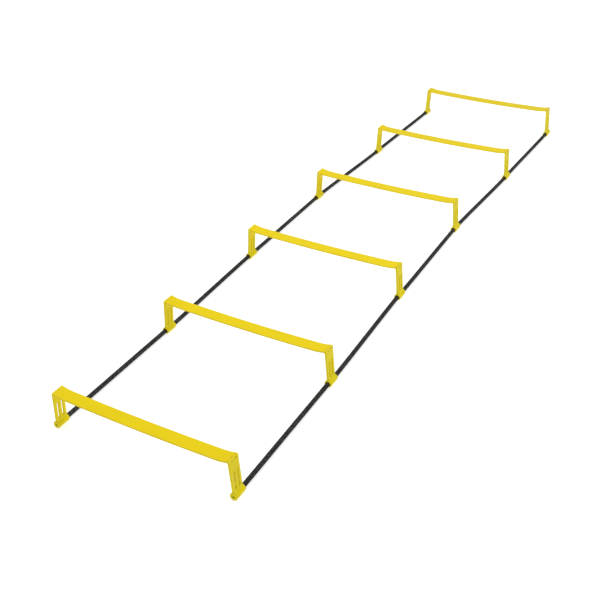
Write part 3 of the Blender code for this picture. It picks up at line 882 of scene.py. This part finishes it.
def screw_mesh():
    """Rings over the head, down to the shank and along the thread to the point."""
    turn = np.arange(SCREW_SIDES) * 2 * math.pi / SCREW_SIDES
    seat = SCREW_RECESS_DEPTH - FIT_GAP - BARREL_LENGTH / 2
    head = np.linspace(HEAD_CENTRE, 1, HEAD_RINGS)[:, None] * SCREW_HEAD_RADIUS * np.ones(SCREW_SIDES)
    dome = seat - SCREW_HEAD_HEIGHT + SCREW_DOME * (head / SCREW_HEAD_RADIUS) ** 2
    arm = np.minimum(np.abs(np.cos(turn)), np.abs(np.sin(turn))) * head
    inside = np.clip((RECESS_ARM - arm) / RECESS_WALL, 0, 1)
    inside = inside * np.clip((RECESS_REACH - head) / RECESS_TIP, 0, 1)
    dome = dome + RECESS_DEPTH * inside
    tip = END_WALL + FIT_GAP + SCREW_GRIP - BARREL_LENGTH / 2
    along = np.linspace(seat, tip, SHANK_RINGS)[:, None] * np.ones(SCREW_SIDES)
    wave = np.abs(((along - seat) / THREAD_PITCH - turn / (2 * math.pi)) % 1 - 0.5) * 2
    taper = np.clip((tip - along) / SCREW_POINT, SCREW_BLUNTNESS, 1)
    grown = np.clip((along - seat) / THREAD_PITCH, 0, 1)
    shank = (SCREW_SHANK_RADIUS - THREAD_DEPTH * (1 - wave) * grown) * taper
    radii = np.concatenate([head, np.full((1, SCREW_SIDES), SCREW_HEAD_RADIUS), shank])
    places = np.concatenate([dome, np.full((1, SCREW_SIDES), seat), along])
    rings = np.stack([radii * np.cos(turn), places, radii * np.sin(turn)], axis=-1)
    return skin("screw", rings)


pin = pin_mesh()
screw = screw_mesh()
for small in (pin, screw):
    small.shade_smooth()
    small.set_sharp_from_angle(angle=SHARP_ANGLE)
print("pin:", len(pin.polygons), "faces; screw:", len(screw.polygons), "faces")

# %% [markdown]
# ## Putting the pieces in place
#
# A finished piece keeps its object at the origin and has its place in its mesh, so that
# patterns on Object coordinates stay where they are. One function copies a template mesh,
# moves the copy to its hurdle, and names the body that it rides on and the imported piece
# that it stands for. Weighted normals keep the broad flat faces flat beside their rounded
# rims. The feet of the first hurdle are closed in front, and those of the last one at the
# back.

# %% Place the hurdles and screws
CLOSED_END = {1: -1, HURDLE_COUNT: 1}


def placed(name, template, matrix, finish, body, node):
    """A copy of a template mesh, moved by a matrix, riding on a body in place of a node."""
    mesh = template.copy()
    mesh.name = name
    mesh.transform(matrix)
    mesh.materials.clear()
    mesh.materials.append(finish)
    piece = new_object(name, mesh)
    weighted = piece.modifiers.new("flat faces stay flat", "WEIGHTED_NORMAL")
    weighted.keep_sharp = True
    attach(piece, body)
    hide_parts(node)
    return piece


for number, middle in enumerate(hurdle_middles, start=1):
    here = Matrix.Translation(middle.tolist())
    placed(f"plank_{number}", crossbar, here, crossbar_plastic, "crossbars", f"crossbar_{number}")
    for label, side in SIDES:
        hinge = here @ Matrix.Translation((side * HINGE_X, 0, HINGE_Z))
        leaning = hinge @ Matrix.Rotation(-side * LEG_LEAN, 4, "Y")
        leg = f"leg_{label}_{number}"
        shape = legs[(side, CLOSED_END.get(number, 0))]
        placed(f"moulded_{leg}", shape, leaning, leg_plastic_shaded_copy, leg, leg)
        wire = f"hinge_pin_{label}_{number}"
        placed(f"wire_{wire}", pin, hinge, pin_finish, "crossbars", wire)

for label, side in SIDES:
    for end, number, half_turn in (("front", 1, 0.0), ("back", HURDLE_COUNT, math.pi)):
        foot = Vector(hurdle_middles[number - 1].tolist()) + Vector((side * FOOT_X, 0, FOOT_Z))
        facing = Matrix.Translation(foot) @ Matrix.Rotation(half_turn, 4, "Z")
        node = f"cord_screw_{label}_{end}"
        placed(f"threaded_{node}", screw, facing, screw_finish_painted_shade, f"cord_{label}", node)

# %% [markdown]
# ## Side cords
#
# A cord lies straight in each foot and runs to the next foot in a shallow double bend,
# because the ladder isn't laid out quite straight. Its sideways step is mostly an even slant,
# as in any taut cord, with a share of the smooth curve 3 s squared minus 2 s cubed, which
# starts and ends level and stands for the stiffness of the braid.
#
# The braid is real relief. Sixteen strands wind round the cord, eight each way. The trick
# is to let the mesh's own lines run along the strands: then the edge of a strand always
# falls on a line of the mesh, and few faces show it sharply.

# %% The cord's route
ROUTE_STEPS = 24
CORD_EASE_SHARE = 0.3


def cord_route(side):
    """The cord's centre line as an array of points, from the first foot to the last."""
    half = BARREL_LENGTH / 2
    inset = END_WALL + FIT_GAP
    feet = hurdle_middles + (side * FOOT_X, 0, FOOT_Z)
    share = np.linspace(0, 1, ROUTE_STEPS + 1)[None, :, None]
    start, finish = feet[:-1, None] + (0, half, 0), feet[1:, None] - (0, half, 0)
    spans = start + (finish - start) * share
    sideways = share + CORD_EASE_SHARE * (share ** 2 * (3 - 2 * share) - share)
    spans[..., 0] = (start + (finish - start) * sideways)[..., 0]
    ends = feet[[0, -1]] + np.array([(0, inset - half, 0), (0, half - inset, 0)])
    return np.concatenate([ends[:1], spans.reshape(-1, 3), ends[1:]])


def along_route(route, distance):
    """Points and unit headings at distances along a route, read off between its points."""
    gone = np.concatenate([[0], np.cumsum(np.linalg.norm(np.diff(route, axis=0), axis=1))])
    place = np.stack([np.interp(distance, gone, route[:, axis]) for axis in range(3)], axis=-1)
    slope = np.gradient(place, axis=0)
    return place, slope / np.linalg.norm(slope, axis=1)[:, None]


routes = {label: cord_route(side) for label, side in SIDES}
cord_length = {
    label: float(np.linalg.norm(np.diff(route, axis=0), axis=1).sum()) for label, route in routes.items()}
print("cord lengths in metres:", {label: round(length, 3) for label, length in cord_length.items()})

# %% [markdown]
# ## Braid
#
# Count strands of one direction with u and those of the other with v: u grows by 8 round
# the cord and by one for each pitch along it, and v grows by 8 round the cord and falls by
# one for each pitch. A strand's own bulge is a half ellipse between two whole numbers. It
# also rises and dips by a sine as it passes over one strand and under the next, in the
# opposite sense to its neighbours. The surface is the higher of the two strands at each
# point. The highest crests stand a little proud of the cord's named radius, so that its
# mean width is the named one, and still clear the bores.

# %% Heights of the strands
STRAND_PAIRS = 8
BRAID_PITCH = 5.2 * MM
STRAND_BULGE = 0.55 * MM
STRAND_DIP = 0.3 * MM
CREST_RISE = 0.25 * MM


def strand_counts(turn, pitches):
    """u and v at a turn round the cord, so many pitches along it."""
    return turn * STRAND_PAIRS + pitches, turn * STRAND_PAIRS - pitches


def strand_height(own, other, over):
    """Height of the strands that one count marks, where the other marks those across them.

    The bulge is the square root of 1 - (2 f - 1) squared, where f is the fraction of the
    count. The rise is the sine of the other count, turned over for every second strand;
    over is 1 for the strands that u counts, and -1 for those that v counts.
    """
    bulge = np.sqrt(np.clip(1 - (2 * (own % 1) - 1) ** 2, 0, 1))
    rise = over * np.cos(math.pi * np.floor(own)) * np.sin(math.pi * other)
    return STRAND_BULGE * bulge + STRAND_DIP * rise


strand_angle = math.atan2(2 * math.pi * CORD_RADIUS / STRAND_PAIRS, BRAID_PITCH)
print(2 * STRAND_PAIRS, "strands, each", round(math.degrees(strand_angle)), "degrees off the cord's line")

# %% [markdown]
# ## The cord as a grid of diamonds
#
# Every second ring is turned by half a step, so that a face joins one point of a ring, two of
# the next and one of the ring after that. Three such diamonds fit across a strand. Each
# end of the cord is closed by two more rings, which sink a narrow hole for the screw.

# %% Rings and faces of a cord
STEPS_PER_STRAND = 3
COLUMNS = STRAND_PAIRS * STEPS_PER_STRAND
PILOT_RADIUS = SCREW_SHANK_RADIUS + FIT_GAP
PILOT_DEPTH = 12.3 * MM


def braid_grid(length):
    """Turns round the cord and distances along it for each point of the grid, and the pitch.

    A point's turn is its column plus half a step on every second row, over the columns.
    """
    rows = int(round(length / BRAID_PITCH * 2 * STEPS_PER_STRAND)) + 1
    row, column = np.meshgrid(np.arange(rows), np.arange(COLUMNS), indexing="ij")
    step = length / (rows - 1)
    return (column + 0.5 * (row % 2)) / COLUMNS, row * step, step * 2 * STEPS_PER_STRAND


def rings_about(centres, headings, radii, around):
    """Points at a radius and a turn about each centre, in the plane square to its heading."""
    across = np.stack([headings[:, 1], -headings[:, 0], 0 * headings[:, 0]], axis=-1)
    turn = around * 2 * math.pi
    points = centres[:, None] + (radii * np.cos(turn))[..., None] * across[:, None]
    points[..., 2] += radii * np.sin(turn)
    return points


def diamond_faces(rows):
    """Diamonds between rings r and r + 2 about ring r + 1, and triangles along both ends."""
    r, c = np.meshgrid(np.arange(rows - 2), np.arange(COLUMNS), indexing="ij")
    left, right = (c - 1 + r % 2) % COLUMNS, (c + r % 2) % COLUMNS
    corners = (r * COLUMNS + c, (r + 1) * COLUMNS + right, (r + 2) * COLUMNS + c, (r + 1) * COLUMNS + left)
    c = np.arange(COLUMNS)
    after = (c + 1) % COLUMNS
    last, before = (rows - 1) * COLUMNS, (rows - 2) * COLUMNS
    first = np.stack([c, after, COLUMNS + c], axis=-1)
    final = np.stack([last + c, last + after, before + (c + (rows - 1) % 2) % COLUMNS], axis=-1)
    return np.stack(corners, axis=-1).reshape(-1, 4).tolist() + first.tolist() + final.tolist()


def end_faces(ring, mouth):
    """Quads from an end ring to the mouth of its hole and to the floor, which is closed."""
    chain = np.concatenate([ring + np.arange(COLUMNS), mouth + np.arange(2 * COLUMNS)])
    return chain[ring_faces(3, COLUMNS)].tolist() + [chain[-COLUMNS:].tolist()]


print("diamonds across a strand:", STEPS_PER_STRAND)

# %% [markdown]
# ## Strand counts on the mesh
#
# The material needs u and v at each corner of each face. They go into the UV map. A cord is
# closed round itself, so a face at the seam has corners on both sides of the jump from the
# last turn back to none. Such a face gets a whole turn added to its low corners.

# %% Strand counts
def count_strands(mesh, around, distance, pitch):
    """Write the UV map of strand counts, and for each face which direction lies on top."""
    corner = numbers(mesh.loops, "vertex_index")
    start = numbers(mesh.polygons, "loop_start")
    total = numbers(mesh.polygons, "loop_total")
    turn = around.ravel()[corner]
    turn += np.repeat(np.maximum.reduceat(turn, start), total) - turn > 0.5
    along = distance.ravel()[corner] / pitch
    counts = np.stack(strand_counts(turn, along), axis=-1)
    strands = mesh.uv_layers.new(name="strands")
    strands.uv.foreach_set("vector", counts.astype(np.float32).ravel())
    u, v = (np.add.reduceat(counts, start, axis=0) / total[:, None]).T
    right_hand = strand_height(u, v, 1) > strand_height(v, u, -1)
    top = mesh.attributes.new("right_hand_on_top", "FLOAT", "FACE")
    top.data.foreach_set("value", right_hand.astype(np.float32))


print("a whole turn is", strand_counts(1, 0)[0], "strands of either direction")

# %% Cord meshes
PAST_EDGE = 1e-4


def cord_mesh(name, route, length):
    """A braided cord along a route, its radius lowered where strands dip, with bored ends.

    Counts are read a little past each point, so that none falls short of a strand's edge.
    """
    around, distance, pitch = braid_grid(length)
    u, v = [count + PAST_EDGE for count in strand_counts(around, distance / pitch)]
    heights = np.maximum(strand_height(u, v, 1), strand_height(v, u, -1))
    relief = heights - STRAND_BULGE - STRAND_DIP + CREST_RISE
    centres, headings = along_route(route, distance[:, 0])
    points = [rings_about(centres, headings, CORD_RADIUS + relief, around).reshape(-1, 3)]
    faces = diamond_faces(len(centres))
    for ring, inward in ((0, 1), (-1, -1)):
        faces += end_faces(ring % len(centres) * COLUMNS, sum(map(len, points)))
        depth = np.array([[0.0], [inward * PILOT_DEPTH]])
        hole = rings_about(centres[ring] + depth * headings[ring], headings[[ring, ring]],
                           np.full((2, 1), PILOT_RADIUS), np.tile(around[ring], (2, 1)))
        points.append(hole.reshape(-1, 3))
    mesh = mesh_from(name, np.concatenate(points), faces)
    # The four rings inside the ends get the turns of the first ring, and no distance.
    spare = np.tile(around[0], 4)
    count_strands(mesh, np.append(around, spare), np.append(distance, 0 * spare), pitch)
    mesh.shade_smooth()
    return mesh, centres


for label, _ in SIDES:
    mesh, centres = cord_mesh(f"braided_side_cord_{label}", routes[label], cord_length[label])
    mesh.materials.append(braid_finish)
    piece = new_object(mesh.name, mesh)
    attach(piece, f"cord_{label}")
    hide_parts(f"side_cord_{label}")
    print(piece.name, len(mesh.polygons), "faces")

# %% [markdown]
# ## Studio
#
# The photograph is a product picture: white all round, soft light from above, and hardly a
# shadow. Photographers get that with a light table, a sheet of opal acrylic lit from below
# under one big softbox, so the floor here glows, and a wide lamp hangs high over the ladder.
# The bright floor keeps the upright faces of the legs nearly as bright as the tops. Close to
# a foot it gets less light from above, which sets the feet on the ground.
#
# The olive front faces show that the room behind the photographer was a little darker and
# cooler than the rest. So the sky, which fills from all round, grows brighter along Y.

# %% Floor
FLOOR_SIZE = 60.0
FLOOR_GLOW = 0.66
FLOOR_CLOUDS_PER_METRE = 0.7


def floor_material():
    """Opal acrylic: a matt pale sheet that glows, with faint clouds in its tone."""
    made, tree, shader, place = new_material(
        "opal_acrylic_floor", 0.9, Emission_Strength=FLOOR_GLOW, Emission_Color=linear("#FFFFFF"))
    cloud = add_node(tree, "TexNoise", {"Scale": FLOOR_CLOUDS_PER_METRE, "Detail": 2.0}, Vector=place)
    tint = add_node(tree, "Mix", two_tints("#BDBDBC", "#C1C1C1"), Factor=cloud.outputs["Fac"])
    join(shader, Base_Color=tint.outputs[BLEND])
    return made


floor_corners = np.array([(-1, -1, 0), (1, -1, 0), (1, 1, 0), (-1, 1, 0)]) * FLOOR_SIZE / 2
floor_mesh = bpy.data.meshes.new("studio_floor")
floor_mesh.from_pydata(floor_corners.tolist(), [], [(0, 1, 2, 3)])
floor_mesh.materials.append(floor_material())
floor = new_object("studio_floor", floor_mesh)
floor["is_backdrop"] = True
print("floor", FLOOR_SIZE, "m across")

# %% Sky and lamp
SKY_NEAR = 0.4
SKY_FAR = 0.8
LAMP_PLACE = (0.0, -0.2, 3.6)
LAMP_SIZE = 2.5
LAMP_POWER = 80

world = bpy.data.worlds.new("studio_sky")
bpy.context.scene.world = world
world.use_nodes = True
tree = world.node_tree
sky = tree.nodes["Background"]
heading = add_node(tree, "TexCoord").outputs["Generated"]
split = add_node(tree, "SeparateXYZ", Vector=heading)
share = add_node(tree, "MapRange", {"From Min": -1.0, "From Max": 1.0}, Value=split.outputs["Y"])
glow = add_node(tree, "MapRange", {"To Min": SKY_NEAR, "To Max": SKY_FAR}, Value=share.outputs["Result"])
shade = add_node(tree, "Mix", two_tints("#F5FAF6", "#FFFFFF"), Factor=share.outputs["Result"])
join(sky, Strength=glow.outputs["Result"], Color=shade.outputs[BLEND])

light = bpy.data.lights.new("key_softbox", "AREA")
light.size = LAMP_SIZE
light.energy = LAMP_POWER
lamp = new_object("key_softbox", light)
lamp.location = LAMP_PLACE
lamp.rotation_euler = (Vector((0, 0, 0)) - Vector(LAMP_PLACE)).to_track_quat("-Z", "Y").to_euler()
bpy.context.scene.view_settings.view_transform = "Standard"
print("sky from", SKY_NEAR, "to", SKY_FAR, "and one soft lamp")

# %% [markdown]
# ## Sizes
#
# The finished ladder has to fill the same box as the imported one. Both boxes are printed
# for comparison.

# %% Compare the boxes
dressed_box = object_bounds()
for label, (low, high) in (("packed", packed_box), ("dressed", dressed_box)):
    print(label, "size in metres:", np.round(np.subtract(high, low), 4))
